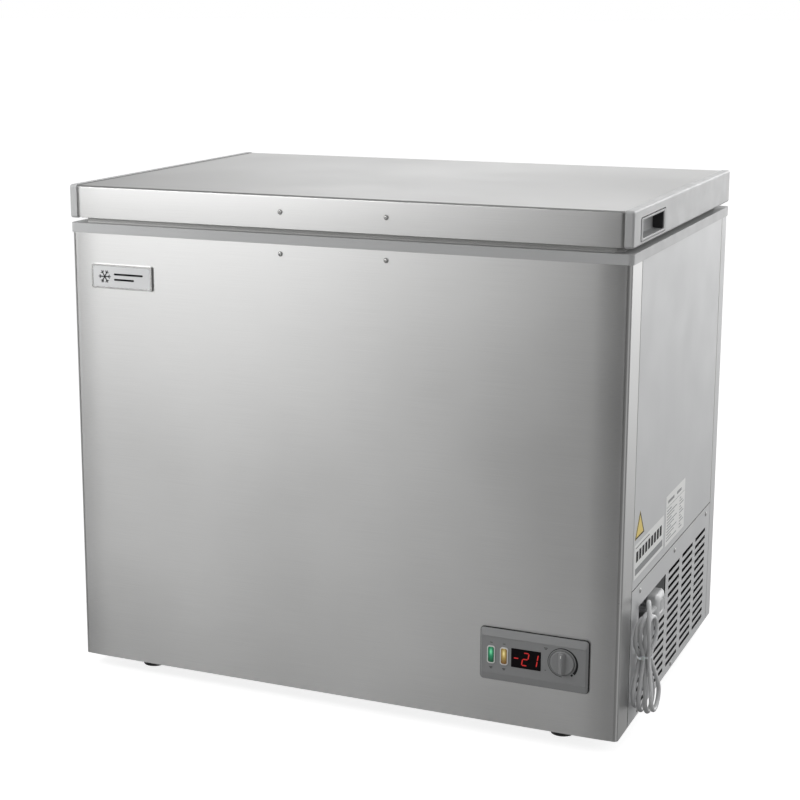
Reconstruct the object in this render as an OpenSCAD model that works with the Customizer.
// Chest freezer: insulated cabinet, hinged lid, cooling unit in a side bay, controls, basket and cord.
// The origin is on the floor below the middle of the box; +X is right, +Y back and +Z up.

/* [Cabinet] */
// Width of the cabinet
cab_w = 960; // [900:10:1100]
// Depth of the cabinet
cab_d = 650; // [600:10:700]
// Height of the closed freezer above the floor
total_h = 850; // [820:10:900]
// Height of the feet
foot_h = 24; // [15:1:30]
// Thickness of the insulated walls
wall = 58; // [50:1:62]
// Radius of the cabinet's vertical corners
corner_r = 8; // [4:1:12]
// How far the front sheet wraps round each side
front_wrap = 61; // [40:1:80]
// How far the rear sheet wraps round each side
rear_wrap = 41; // [30:1:60]

/* [Lid] */
// Height of the lid
lid_h = 56; // [50:1:65]
// Gap between the lid and the collar
lid_gap = 8; // [4:0.5:10]
// Width of the lid's end caps
cap_w = 14; // [12:1:18]
// How far the collar and the lid caps stand out past the sides
overhang = 2; // [1:0.5:4]
// Length of the hand recess in each end cap
grip_l = 126; // [90:1:140]
// Depth of the hand recess
grip_depth = 18; // [14:1:20]

/* [Cooling unit] */
// Width of the bay that holds the compressor
bay_w = 240; // [230:5:260]
// Height of the top of the bay above the floor
bay_top = 250; // [240:5:270]
// Radius of the compressor shell
comp_r = 74; // [60:1:80]
// Number of slots in a full column of the grille
slot_rows = 13; // [8:1:13]

/* [Controls] */
// Width of the control panel
panel_w = 178; // [178:1:190]
// Height of the control panel
panel_h = 87; // [87:1:95]
// How far the control panel stands out of the front
panel_out = 7; // [6:0.5:9]
// Radius of the thermostat knob
knob_r = 19.5; // [18:0.5:23]

/* [Basket] */
// Length of the basket along the freezer
basket_l = 300; // [240:10:320]
// Height of the basket
basket_h = 200; // [150:10:220]

/* [Cord] */
// Diameter of the power cord
cord_d = 7; // [6:0.5:8]

/* [Hidden] */
$fn = 48;

// Thin stock and small clearances
sheet = 1.2;          // outer steel sheets
liner_t = 1;          // inner liner
air = 0.2;            // space left between foam and sheet
seam = 2;             // gap between neighbouring outer sheets

// Heights
lid_z0 = total_h - lid_h;
collar_top = lid_z0 - lid_gap;
collar_h = 16;
cab_top = collar_top - collar_h;
floor_foam = 60;
hump_z = bay_top + wall;

// Faces of the cabinet
side_x = cab_w / 2;
front_y = -cab_d / 2;
rear_y = cab_d / 2;
bay_x = side_x - bay_w;

// Storage well
well_x = side_x - wall;
well_y = rear_y - wall;
well_r = 20;
deep_x1 = bay_x - wall;
well_z0 = foot_h + floor_foam;
ledge_w = 18;
ledge_h = 5;

// Lid
lid_x = side_x + overhang - 0.5;
skin_x = lid_x - cap_w;
lid_y = rear_y + 0.5;
grip_y = front_y + 114;
grip_z = lid_z0 + 23;
grip_h = 27;
screw_x = 91;
lock_z = cab_top - 15;
screw_out = 2;

// Hinges
hinge_out = 15;
hinge_r = 6;
pivot_y = rear_y + hinge_out - hinge_r;
pivot_z = lid_z0 - 10;
pin_r = 3;
hinge_x = 300;

// Controls
panel_x = side_x - 135.5;
panel_z = foot_h + 116;
panel_y = front_y - panel_out;
knob_x = panel_x + 47;
knob_z = panel_z + 3.5;
display_x = panel_x - 11.8;
lamp_xs = [panel_x - 69.2, panel_x - 47.8];
lens = [9.6, 25];
lens_r = 2.6;
lamp_frame = [13, 29];
lamp_r = 4;
display = [48.3, 31];
shaft_r = 3;

// Grille
slot = [76, 6.5];
slot_dy = 97;
slot_dz = 13.75;
slot_y0 = -177;
slot_z0 = foot_h + 18;
pocket_y = [-215, -42];
pocket_z = [150, 211];
pocket_depth = 35;
grille_t = 2;
short_rows = 8;

// Cooling unit
comp_at = [bay_x + 112, 120, foot_h + 20];
drier_at = [bay_x + 30, -80, 110];

// Badge
badge = [115, 41];
badge_at = [-side_x + 96.5, cab_top - 71];

// Basket
basket_x0 = 90;
rim_wire = 3;
mesh_wire = 1.6;
basket_y = well_y - 12;
bar_z = collar_top - collar_h + ledge_h + 0.3 + rim_wire;
rim_z = bar_z - 20;

// Cord: the two free stretches are routes of round numbers, the rest is a tied hank
cord_r = cord_d / 2;
hank_y = -234;
hank_x = [482, 511.5];
hank_z = [42, 210];
hank_w = 68;
tie_z = 136;
gland_at = [445, -190, 172];
plug_at = [476, -87, 172.3];
relief = [[477, -110, 172], [477, -139, 172]];
gland_route = [
    [446, -190, 172], [456, -190, 172], [466, -191, 170], [475, -193, 164],
    [482, -198, 157], [485, -204, 146], [486, -210, 126]
];
plug_route = [
    [477, -139, 172], [479, -153, 174], [482, -166, 180], [485, -178, 190],
    [488, -189, 201], [492, -201, 213], [495, -214, 221], [499, -228, 224],
    [503, -242, 221], [506, -253, 212], [508, -259, 200], [508, -261, 188]
];

// ---- Shared shapes ----

// A box given by its lowest and highest corners
module box(low, high) translate(low) cube(high - low);

// A rectangle in the XY plane with round corners, centred
module rounded_rect(w, d, r) {
    square([w - 2 * r, d], center = true);
    square([w, d - 2 * r], center = true);
    for (x = [-1, 1], y = [-1, 1]) translate([x * (w / 2 - r), y * (d / 2 - r)]) circle(r);
}

// A flat ring with round corners: outer size minus the same outline drawn in by t
module rounded_ring(w, d, r, t) difference() {
    rounded_rect(w, d, r);
    rounded_rect(w - 2 * t, d - 2 * t, max(r - t, 1));
}

// A plate lying in the XZ plane with round corners, its front face at y and t thick behind it
module front_plate(x, z, w, h, r, y, t)
    translate([x, y + t, z]) rotate([90, 0, 0]) linear_extrude(t) rounded_rect(w, h, r);

// The part of the outer sheet between two depths
module sheet_band(y0, y1, z0 = foot_h) translate([0, 0, z0]) linear_extrude(cab_top - z0)
    intersection() {
        rounded_ring(cab_w, cab_d, corner_r, sheet);
        translate([-cab_w, y0]) square([2 * cab_w, y1 - y0]);
    }

// The storage well with its step over the bay, grown outwards by g and open up to z1
module well(g, z1) {
    deep_w = deep_x1 + well_x;
    translate([deep_x1 - deep_w / 2, 0, well_z0 - g]) linear_extrude(z1 - well_z0 + g)
        rounded_rect(deep_w + 2 * g, 2 * (well_y + g), well_r + g);
    translate([0, 0, hump_z - g]) linear_extrude(z1 - hump_z + g)
        rounded_rect(2 * (well_x + g), 2 * (well_y + g), well_r + g);
}

// A round bar from p to q
module bar(p, q, r) {
    v = q - p;
    translate(p) rotate([0, acos(v[2] / norm(v)), atan2(v[1], v[0])]) cylinder(r = r, h = norm(v));
}

// A bent pipe through a list of points, with a ball at each bend
module pipe(points, r) {
    for (i = [1:len(points) - 1]) bar(points[i - 1], points[i], r);
    for (i = [1:1:len(points) - 2]) translate(points[i]) sphere(r);
}

// A pan-head screw with its seat at z = 0, its head above it with a cross recess and its shank below
module pan_screw(r = 4.3, h = screw_out, shank = 1) {
    difference() {
        cylinder(r = r, h = h);
        for (a = [0, 90]) rotate([0, 0, a]) translate([-r * 0.55, -0.6, h - 1]) cube([r * 1.1, 1.2, 2]);
    }
    if (shank > 0) translate([0, 0, -shank]) cylinder(r = 1.8, h = shank);
}

// ---- Cabinet ----

module front_panel() color("silver") difference() {
    sheet_band(front_y, front_y + front_wrap);
    box([panel_x - 82, front_y - 1, panel_z - 30], [panel_x + 82, front_y + 5, panel_z + 30]);
    for (s = [-1, 1]) translate([s * screw_x, front_y, lock_z]) rotate([90, 0, 0])
        cylinder(r = 2, h = 10, center = true);
}

module side_sheet(z0) intersection() {
    sheet_band(front_y + front_wrap + seam, rear_y - rear_wrap - seam, z0);
    box([0, front_y, 0], [cab_w, rear_y, total_h]);
}
module side_panel_left() color("gainsboro") mirror([1, 0, 0]) side_sheet(foot_h);
module side_panel_right() color("gainsboro") side_sheet(bay_top);

module rear_panel() color("gainsboro") difference() {
    sheet_band(rear_y - rear_wrap, rear_y);
    for (k = [0:7]) box([bay_x + 40, rear_y - 5, foot_h + 56 + 16 * k],
                        [side_x - 60, rear_y + 1, foot_h + 62 + 16 * k]);
}

module floor_plate(x0, x1, t) intersection() {
    translate([0, 0, foot_h]) linear_extrude(t)
        rounded_rect(cab_w - 2 * sheet - air, cab_d - 2 * sheet - air, corner_r);
    box([x0, front_y, 0], [x1, rear_y, foot_h + t]);
}
module base_pan() color("darkgray") floor_plate(-side_x, bay_x - 1, sheet);

module insulation() color("khaki") difference() {
    translate([0, 0, foot_h + sheet]) linear_extrude(cab_top - foot_h - sheet)
        rounded_rect(cab_w - 2 * sheet - 2 * air, cab_d - 2 * sheet - 2 * air, corner_r);
    well(liner_t + air, cab_top + 1);
    box([bay_x, front_y, 0], [side_x, rear_y, bay_top]);
}

module inner_liner() color("whitesmoke") difference() {
    well(liner_t, cab_top);
    well(0, cab_top + 1);
}

// The plastic rim: a band round the outside, a flat for the gasket and a lower ledge for the basket
module top_collar() color("darkgray") {
    ledge = 2 * ledge_w;
    translate([0, 0, cab_top]) linear_extrude(collar_h) difference() {
        rounded_rect(cab_w + 2 * overhang, cab_d + 1, corner_r);
        rounded_rect(2 * well_x + ledge, 2 * well_y + ledge, well_r + ledge_w);
    }
    translate([0, 0, cab_top]) linear_extrude(ledge_h) difference() {
        rounded_rect(2 * well_x + ledge + 1, 2 * well_y + ledge + 1, well_r + ledge_w);
        rounded_rect(2 * well_x, 2 * well_y, well_r);
    }
}

module feet() color("black")
    for (x = [-1, 1], y = [-1, 1]) translate([x * (side_x - 105), y * (rear_y - 60), 0])
        rotate_extrude() polygon([[0, 0], [19, 0], [21, 4], [21, 12], [14, 16], [14, foot_h], [0, foot_h]]);

module lock_screws() color("silver")
    for (s = [-1, 1]) translate([s * screw_x, front_y, lock_z]) rotate([90, 0, 0]) pan_screw(shank = 1);

// ---- Cooling unit ----

module bay_partition() color("gray") difference() {
    box([bay_x, front_y + sheet + air, foot_h + 2], [side_x - grille_t - 1, rear_y - sheet - air, bay_top]);
    box([bay_x + 1, front_y, 0], [side_x, rear_y, bay_top - 1]);
}

// Five loops of tube round the upper well, joined by a riser
module evaporator_coil() color("peru") {
    r = 4;
    x = well_x + liner_t + r + 1;
    y = well_y + liner_t + r + 1;
    for (k = [0:4]) {
        z = hump_z + 60 + 80 * k;
        pipe([[0, -y, z], [x, -y, z], [x, y, z], [-x, y, z], [-x, -y, z], [0, -y, z]], r);
    }
    bar([0, -y, hump_z + 60], [0, -y, hump_z + 380], r);
}

// A flat serpentine against the rear sheet
module condenser_coil() color("peru") {
    y = rear_y - 14;
    passes = 6;
    pipe([for (k = [0:2 * passes - 1])
        [(floor((k + 1) / 2) % 2 == 0) ? -side_x + 80 : bay_x - 80, y, 160 + 80 * floor(k / 2)]], 2.5);
}

module compressor_base() color("darkgray") difference() {
    floor_plate(bay_x, side_x - grille_t - 0.5, 2);
    for (k = [-2:2]) box([bay_x + 60, 20 * k - 140, 0], [side_x - 60, 20 * k - 133, 60]);
}

module at_compressor_feet() for (x = [-66, 66], y = [-82, 82])
    translate([comp_at[0] + x, comp_at[1] + y, 0]) children();

// Welded steel shell on a foot plate
module compressor() color("dimgray") {
    translate(comp_at + [0, 0, 8]) rotate_extrude() polygon([
        [0, 0], [comp_r - 26, 0], [comp_r - 10, 8], [comp_r, 24], [comp_r, 82], [comp_r + 4, 82],
        [comp_r + 4, 88], [comp_r, 88], [comp_r - 2, 118], [comp_r - 14, 140], [comp_r - 38, 152], [0, 156]
    ]);
    difference() {
        box(comp_at + [-80, -96, 4], comp_at + [80, 96, 8]);
        at_compressor_feet() cylinder(r = 6, h = 100);
    }
}
module compressor_mounts() color("black") at_compressor_feet() {
    translate([0, 0, foot_h + 2]) cylinder(r = 12, h = comp_at[2] + 4 - foot_h - 2);
    translate([0, 0, comp_at[2]]) cylinder(r = 5.5, h = 14);
    translate([0, 0, comp_at[2] + 8]) cylinder(r = 10, h = 4);
}
module terminal_cover() color("black")
    box([comp_at[0] - 30, comp_at[1] - comp_r - 34, comp_at[2] + 40],
        [comp_at[0] + 30, comp_at[1] - comp_r - 6, comp_at[2] + 90]);

module filter_drier() color("peru") translate(drier_at) rotate_extrude()
    polygon([[0, -60], [3, -60], [3, -50], [10, -40], [10, 40], [3, 50], [3, 60], [0, 60]]);

// Suction pipe up into the foam, capillary from the drier, and discharge pipe to the drier
module refrigerant_pipes() color("peru") {
    outlet = comp_at + [-comp_r - 0.3, 0, 60];
    riser_x = bay_x + 18;
    pipe([outlet, [riser_x, outlet[1], outlet[2]], [riser_x, outlet[1], bay_top - 20],
          [riser_x, 200, bay_top - 20], [riser_x, 200, bay_top - 1]], 4);
    pipe([drier_at + [0, 0, 60], drier_at + [0, 0, 110], drier_at + [0, -120, 110],
          [drier_at[0], drier_at[1] - 120, bay_top - 1]], 2.5);
    pipe([drier_at + [0, 0, -60], drier_at + [0, 0, -74], drier_at + [0, 60, -74],
          drier_at + [0, 60, 20], drier_at + [30, 60, 20], drier_at + [30, 146, 20]], 2.5);
}

// Slotted cover of the bay, with a window for the plug pocket
module grille_slot(col, row) {
    y = slot_y0 + slot_dy * col;
    z = slot_z0 + slot_dz * row;
    translate([y - slot[0] / 2, z - slot[1] / 2]) square(slot);
}
module compressor_grille() color("gainsboro")
    translate([side_x - grille_t, 0, 0]) rotate([90, 0, 90]) linear_extrude(grille_t) difference() {
        translate([front_y + front_wrap + seam, foot_h])
            square([cab_d - front_wrap - rear_wrap - 2 * seam, bay_top - seam - foot_h]);
        translate([pocket_y[0], pocket_z[0]])
            square([pocket_y[1] - pocket_y[0], pocket_z[1] - pocket_z[0]]);
        for (col = [2:4], row = [0:slot_rows - 1]) grille_slot(col, row);
        for (col = [0:1], row = [0:short_rows - 1]) grille_slot(col, row);
    }
module grille_screws() color("silver")
    for (p = [[-212, 236], [14, 236], [248, 236], [-206, 33], [14, 33]])
        translate([side_x, p[0], p[1]]) rotate([0, 90, 0]) pan_screw(r = 4, h = 1.6, shank = 0);

module plug_pocket() color("gainsboro") difference() {
    t = 1.5;
    box([side_x - pocket_depth - t, pocket_y[0] - t, pocket_z[0] - t],
        [side_x - grille_t, pocket_y[1] + t, pocket_z[1] + t]);
    box([side_x - pocket_depth, pocket_y[0], pocket_z[0]], [side_x, pocket_y[1], pocket_z[1]]);
    translate(gland_at) rotate([0, 90, 0]) cylinder(r = 7, h = 20, center = true);
}
module cord_gland() color("dimgray") translate(gland_at) rotate([0, 90, 0]) difference() {
    union() {
        translate([0, 0, -8]) cylinder(r = 6.95, h = 9);
        cylinder(r = 10, h = 3);
        translate([0, 0, -5]) cylinder(r = 10, h = 3);
    }
    translate([0, 0, 1]) cylinder(r = cord_r, h = 10);
}

// ---- Controls ----

// What is cut through the bezel and its plate for the lamps and the display
module window_cuts() {
    for (x = lamp_xs)
        front_plate(x, panel_z, lamp_frame[0] + 0.2, lamp_frame[1] + 0.2, lamp_r, panel_y - 2, 20);
    front_plate(display_x, panel_z, display[0] + 0.2, display[1] + 0.2, 1, panel_y - 2, 20);
}

module control_bezel() color("gray") difference() {
    intersection() {
        translate([panel_x - panel_w / 2, 0, panel_z]) rotate([90, 0, 90]) linear_extrude(panel_w)
            polygon([[front_y, -panel_h / 2], [front_y - 2.5, -panel_h / 2], [panel_y, 12 - panel_h / 2],
                     [panel_y, panel_h / 2 - 12], [front_y - 2.5, panel_h / 2], [front_y, panel_h / 2]]);
        front_plate(panel_x, panel_z, panel_w, panel_h, 5, panel_y - 1, panel_out + 2);
    }
    front_plate(panel_x, panel_z, panel_w - 9, panel_h - 27, 1.5, panel_y - 1, 2);
    window_cuts();
    translate([knob_x, front_y, knob_z]) rotate([90, 0, 0]) cylinder(r = 8.2, h = 40, center = true);
}

// Printed plate that fills the bezel's recess; the knob turns inside its round window
module control_fascia() color("darkgray") difference() {
    front_plate(panel_x, panel_z, panel_w - 10.5, panel_h - 28.5, 1, panel_y + 0.2, 0.8);
    window_cuts();
    translate([knob_x, front_y, knob_z]) rotate([90, 0, 0]) cylinder(r = knob_r + 4, h = 40, center = true);
}

module lamp_frames() color("white") for (x = lamp_xs) difference() {
    front_plate(x, panel_z, lamp_frame[0], lamp_frame[1], lamp_r, panel_y - 1, panel_out);
    front_plate(x, panel_z, lens[0] + 0.2, lens[1] + 0.2, lens_r, panel_y - 2, 20);
}
module lamp_lens(i) front_plate(lamp_xs[i], panel_z, lens[0], lens[1], lens_r, panel_y - 1.4, panel_out);
module power_lamp() color("limegreen") lamp_lens(0);
module freeze_lamp() color("gold") lamp_lens(1);

module display_window() color("black")
    front_plate(display_x, panel_z, display[0], display[1], 1, panel_y - 0.3, 4);
module display_board() color("darkgreen")
    box([lamp_xs[0] - 10, front_y + 6, panel_z - 26], [display_x + 28, front_y + 7.6, panel_z + 26]);

// The control switch behind the knob, with a threaded neck that guides the shaft
module thermostat_body() color("silver") translate([knob_x, 0, knob_z]) difference() {
    union() {
        box([-18, front_y + 4, -22], [18, front_y + 40, 22]);
        translate([0, front_y + 4, 0]) rotate([90, 0, 0]) cylinder(r = 8, h = 8);
    }
    translate([0, front_y + 24, 0]) rotate([90, 0, 0]) cylinder(r = shaft_r + 0.05, h = 40);
}
module thermostat_shaft() color("silver") translate([knob_x, front_y + 22, knob_z]) rotate([90, 0, 0])
    cylinder(r = shaft_r, h = panel_out + 22);
module thermostat_knob() color("gray") translate([knob_x, panel_y - 0.4, knob_z]) rotate([90, 0, 0])
    difference() {
        union() {
            cylinder(r = knob_r, h = 3.6);
            intersection() {
                translate([-3.5, -knob_r, 0]) cube([7, 2 * knob_r, 7.6]);
                cylinder(r = knob_r - 1, h = 8);
            }
        }
        translate([0, 0, -1]) cylinder(r = shaft_r + 0.02, h = 4);
    }

module badge_frame() color("silver") difference() {
    front_plate(badge_at[0], badge_at[1], badge[0], badge[1], 3, front_y - 4, 4);
    front_plate(badge_at[0], badge_at[1], badge[0] - 6, badge[1] - 6, 2, front_y - 5, 2.5);
}
module badge_insert() color("white")
    front_plate(badge_at[0], badge_at[1], badge[0] - 6.4, badge[1] - 6.4, 1.8, front_y - 3.6, 1);

// Stickers on the right side
module sticker(y, z, w, h) box([side_x, y, z], [side_x + 0.3, y + w, z + h]);
module maker_label() color("white") sticker(-256, 265, 185, 56);
module data_label() color("white") sticker(-58, 262, 132, 86);
module corner_sticker() color("gold") translate([side_x, -227, 330]) rotate([90, 0, 90])
    linear_extrude(0.3) polygon([[-28, 0], [28, 0], [0, 41]]);

// ---- Hinges ----

module at_hinges() for (s = [-1, 1]) translate([s * hinge_x, 0, 0]) children();

// Bracket screwed to the rear sheet, with two ears that hold the pin
module hinge_brackets() color("silver") at_hinges() difference() {
    union() {
        box([-26, rear_y, cab_top - 62], [26, rear_y + 2, cab_top - 2]);
        for (x = [-16.5, 13.5]) translate([x, 0, 0]) rotate([90, 0, 90]) linear_extrude(3) union() {
            polygon([[rear_y + 1, cab_top - 40], [rear_y + 1, cab_top - 4], [pivot_y - hinge_r, pivot_z],
                     [pivot_y + hinge_r, pivot_z], [pivot_y + hinge_r, pivot_z - 12]]);
            translate([pivot_y, pivot_z]) circle(hinge_r);
        }
    }
    translate([0, pivot_y, pivot_z]) rotate([0, 90, 0]) cylinder(r = pin_r + 0.02, h = 60, center = true);
}
module hinge_pins() color("dimgray") at_hinges() translate([0, pivot_y, pivot_z]) rotate([0, 90, 0]) {
    cylinder(r = pin_r, h = 35, center = true);
    for (s = [-1, 1]) translate([0, 0, s * 17.5]) cylinder(r = 4.5, h = 1.8, center = true);
}
// Leaf on the lid's rear face, whose knuckle turns on the pin
module hinge_leaves() color("silver") at_hinges() difference() {
    union() {
        box([-26, lid_y, lid_z0 + 4], [26, lid_y + 2, lid_z0 + 46]);
        box([-11, lid_y + 0.4, pivot_z], [11, lid_y + 2, lid_z0 + 5]);
        box([-11, lid_y + 0.8, pivot_z - 1], [11, pivot_y, pivot_z + 1]);
        translate([0, pivot_y, pivot_z]) rotate([0, 90, 0]) cylinder(r = 5, h = 26, center = true);
    }
    translate([0, pivot_y, pivot_z]) rotate([0, 90, 0]) cylinder(r = pin_r + 0.05, h = 60, center = true);
}

// Screws of the hinge plates, one set into the cabinet and one into the lid
module plate_screws(z, y) at_hinges() for (x = [-21, 21], dz = [-14, 14])
    translate([x, y, z + dz]) rotate([-90, 0, 0]) pan_screw(r = 3.5, h = 1.8, shank = 0);
module bracket_screws() color("silver") plate_screws(cab_top - 32, rear_y + 2);
module leaf_screws() color("silver") plate_screws(lid_z0 + 25, lid_y + 2);

// ---- Lid ----

// A bar of the lid's cross-section, drawn in by inset all round, between two X values
module lid_section(x0, x1, inset, z0, z1) translate([x0, 0, 0]) rotate([90, 0, 90]) linear_extrude(x1 - x0)
    translate([0, (z0 + z1) / 2]) rounded_rect(2 * (lid_y - inset), z1 - z0, 3);

// Brushed sheet folded over the top, the front and the rear
module lid_skin() color("silver") difference() {
    lid_section(-skin_x, skin_x, 0.5, lid_z0 + 1, total_h - 1);
    lid_section(-cab_w, cab_w, 0.5 + sheet, lid_z0 - 20, total_h - 1 - sheet);
    for (s = [-1, 1]) translate([s * screw_x, front_y, lid_z0 + 28]) rotate([90, 0, 0])
        cylinder(r = 2, h = 10, center = true);
}

module lid_insulation() color("khaki") {
    box([-skin_x + 6, front_y + 3, lid_z0 + 4], [skin_x - 6, rear_y - 3, total_h - 3]);
    translate([0, 0, lid_z0 - 5.8]) linear_extrude(12) rounded_rect(2 * well_x, 2 * well_y, 22);
}

// White inner sheet with a shallow pan that drops into the collar
module lid_inner_panel() color("white") difference() {
    union() {
        translate([0, 0, lid_z0 + 1]) linear_extrude(2.6) rounded_rect(2 * (skin_x - 1), cab_d - 4, 4);
        translate([0, 0, lid_z0 - 8]) linear_extrude(10) rounded_rect(2 * well_x + 6, 2 * well_y + 6, 24);
    }
    translate([0, 0, lid_z0 - 6]) linear_extrude(30) rounded_rect(2 * well_x + 2, 2 * well_y + 2, 22);
}

module lid_gasket() color("lightgray") translate([0, 0, collar_top + 0.3])
    linear_extrude(lid_gap + 0.6) rounded_ring(cab_w - 38, cab_d - 18, 16, 16);

// End cap with a slot for the hand recess; built for the right end
module lid_cap() difference() {
    lid_section(skin_x, lid_x, 0, lid_z0, total_h);
    box([skin_x - 1, grip_y - grip_l / 2, grip_z - grip_h / 2],
        [lid_x + 1, grip_y + grip_l / 2, grip_z + grip_h / 2]);
}
// Moulded cup in the end cap; its floor rises inwards so that fingers hook over it
module grip_cup() difference() {
    t = 1.4;
    g = 0.1;
    y0 = grip_y - grip_l / 2;
    y1 = grip_y + grip_l / 2;
    z0 = grip_z - grip_h / 2;
    z1 = grip_z + grip_h / 2;
    box([lid_x - grip_depth, y0 + g, z0 + g], [lid_x, y1 - g, z1 - g]);
    translate([0, y1 - t, 0]) rotate([90, 0, 0]) linear_extrude(grip_l - 2 * t) polygon([
        [lid_x + 1, z0 + t], [lid_x, z0 + t], [lid_x - grip_depth + t, z0 + 10],
        [lid_x - grip_depth + t, z1 - t], [lid_x + 1, z1 - t]
    ]);
}
module lid_cap_right() color("darkgray") lid_cap();
module lid_cap_left() color("darkgray") mirror([1, 0, 0]) lid_cap();
module grip_cup_right() color("gray") grip_cup();
module grip_cup_left() color("gray") mirror([1, 0, 0]) grip_cup();

module lid_screws() color("silver")
    for (s = [-1, 1]) translate([s * screw_x, front_y, lid_z0 + 28]) rotate([90, 0, 0]) pan_screw();

// ---- Basket ----

// A flat grid of wires from the origin, w by h, with nx by ny openings
module wire_grid(w, h, nx, ny) {
    t = 2 * mesh_wire;
    for (k = [0:nx]) translate([(w - t) * k / nx, 0]) square([t, h]);
    for (k = [0:ny]) translate([0, (h - t) * k / ny]) square([w, t]);
}
// Rectangular bar of side 2r from p to q along one axis, its ends r past both points
module square_bar(p, q, r) {
    low = [for (i = [0:2]) min(p[i], q[i]) - r];
    high = [for (i = [0:2]) max(p[i], q[i]) + r];
    box(low, high);
}
module wire_basket() color("white") {
    x0 = basket_x0;
    z0 = rim_z - basket_h;
    t = 2 * mesh_wire;
    width = 2 * basket_y;
    translate([x0, -basket_y, z0]) linear_extrude(t) wire_grid(basket_l, width, 7, 12);
    for (x = [x0, x0 + basket_l - t]) translate([x, -basket_y, z0]) rotate([90, 0, 90])
        linear_extrude(t) wire_grid(width, basket_h, 12, 4);
    for (y = [-basket_y + t, basket_y]) translate([x0, y, z0]) rotate([90, 0, 0])
        linear_extrude(t) wire_grid(basket_l, basket_h, 7, 4);
    difference() {
        box([x0 - 1, -basket_y - 1, rim_z - rim_wire], [x0 + basket_l + 1, basket_y + 1, rim_z + rim_wire]);
        box([x0 + 5, -basket_y + 5, 0], [x0 + basket_l - 5, basket_y - 5, total_h]);
    }
    for (s = [-1, 1]) {
        hang_y = s * (well_y + ledge_w / 2);
        rim_y = s * (basket_y - 2);
        square_bar([x0 + 20, hang_y, bar_z], [x0 + basket_l - 20, hang_y, bar_z], rim_wire);
        for (x = [x0 + 20, x0 + basket_l - 20]) {
            square_bar([x, rim_y, bar_z], [x, hang_y, bar_z], rim_wire);
            square_bar([x, rim_y, rim_z], [x, rim_y, bar_z], rim_wire);
        }
    }
}
// Moulded hand grips clipped over the middle of each hanging bar
module basket_grips() color("steelblue") for (s = [-1, 1])
    translate([basket_x0 + basket_l / 2, s * (well_y + ledge_w / 2), bar_z]) difference() {
        bore = rim_wire + 0.05;
        box([-40, -6.5, -2.8], [40, 6.5, 5]);
        box([-41, -bore, -bore], [41, bore, bore]);
    }

// ---- Cord ----

// Ring i of a tube: 8 points round the route, square to its direction there
function unit(v) = v / norm(v);
function heading(p, i) = unit(p[min(i + 1, len(p) - 1)] - p[max(i - 1, 0)]);
function ring(p, i, r) = let (d = heading(p, i), s = unit(cross(d, [0, 0.31, 0.95])), u = cross(s, d))
    [for (a = [0:45:315]) p[i] + r * (cos(a) * s + sin(a) * u)];
module tube(p, r) {
    n = 8;
    m = len(p);
    polyhedron(
        points = [for (i = [0:m - 1]) each ring(p, i, r)],
        faces = concat(
            [[for (k = [0:n - 1]) k], [for (k = [n - 1:-1:0]) (m - 1) * n + k]],
            [for (i = [0:m - 2], k = [0:n - 1])
                [i * n + k, (i + 1) * n + k, (i + 1) * n + (k + 1) % n, i * n + (k + 1) % n]]
        )
    );
}
module power_cord() color("lightgray") {
    tube(gland_route, cord_r);
    tube(plug_route, cord_r);
}
module hank_outline() {
    z0 = hank_z[0] + hank_w / 2;
    z1 = hank_z[1] - hank_w / 2;
    translate([hank_y - hank_w / 2, z0]) square([hank_w, z1 - z0]);
    for (z = [z0, z1]) translate([hank_y, z]) circle(hank_w / 2);
}
module cord_hank() color("lightgray")
    translate([hank_x[0], 0, 0]) rotate([90, 0, 90]) linear_extrude(hank_x[1] - hank_x[0]) hank_outline();
module cord_tie() color("white") translate([0, 0, tie_z]) linear_extrude(4) difference() {
    translate([hank_x[0] - 1.5, hank_y - hank_w / 2 - 1.5]) square([hank_x[1] - hank_x[0] + 3, hank_w + 3]);
    translate([hank_x[0], hank_y - hank_w / 2]) square([hank_x[1] - hank_x[0], hank_w]);
}

// Three-pin plug lying in the pocket with its pins towards the back wall
module power_plug() color("lightgray") {
    translate(plug_at) {
        translate([-10, -24, -22]) cube([20, 48, 44]);
        for (p = [[0, 16, 9, 4, 8], [-11, -8, 7, 6.3, 4], [11, -8, 7, 6.3, 4]])
            translate([-10 - 18, p[1] - p[3] / 2, p[0] - p[4] / 2]) cube([18.5, p[3], p[4]]);
    }
    bar(relief[0], relief[1], 6);
}

front_panel();
side_panel_left();
side_panel_right();
rear_panel();
base_pan();
insulation();
inner_liner();
top_collar();
bay_partition();
evaporator_coil();
condenser_coil();
compressor_base();
compressor();
compressor_mounts();
terminal_cover();
filter_drier();
refrigerant_pipes();
compressor_grille();
grille_screws();
plug_pocket();
cord_gland();
control_bezel();
control_fascia();
lamp_frames();
power_lamp();
freeze_lamp();
display_window();
display_board();
thermostat_body();
badge_frame();
badge_insert();
lock_screws();
feet();
maker_label();
data_label();
corner_sticker();
hinge_brackets();
hinge_pins();
bracket_screws();
lid_skin();
lid_cap_left();
lid_cap_right();
grip_cup_left();
grip_cup_right();
lid_insulation();
lid_inner_panel();
lid_gasket();
lid_screws();
hinge_leaves();
leaf_screws();
thermostat_knob();
thermostat_shaft();
wire_basket();
basket_grips();
power_cord();
cord_hank();
cord_tie();
power_plug();
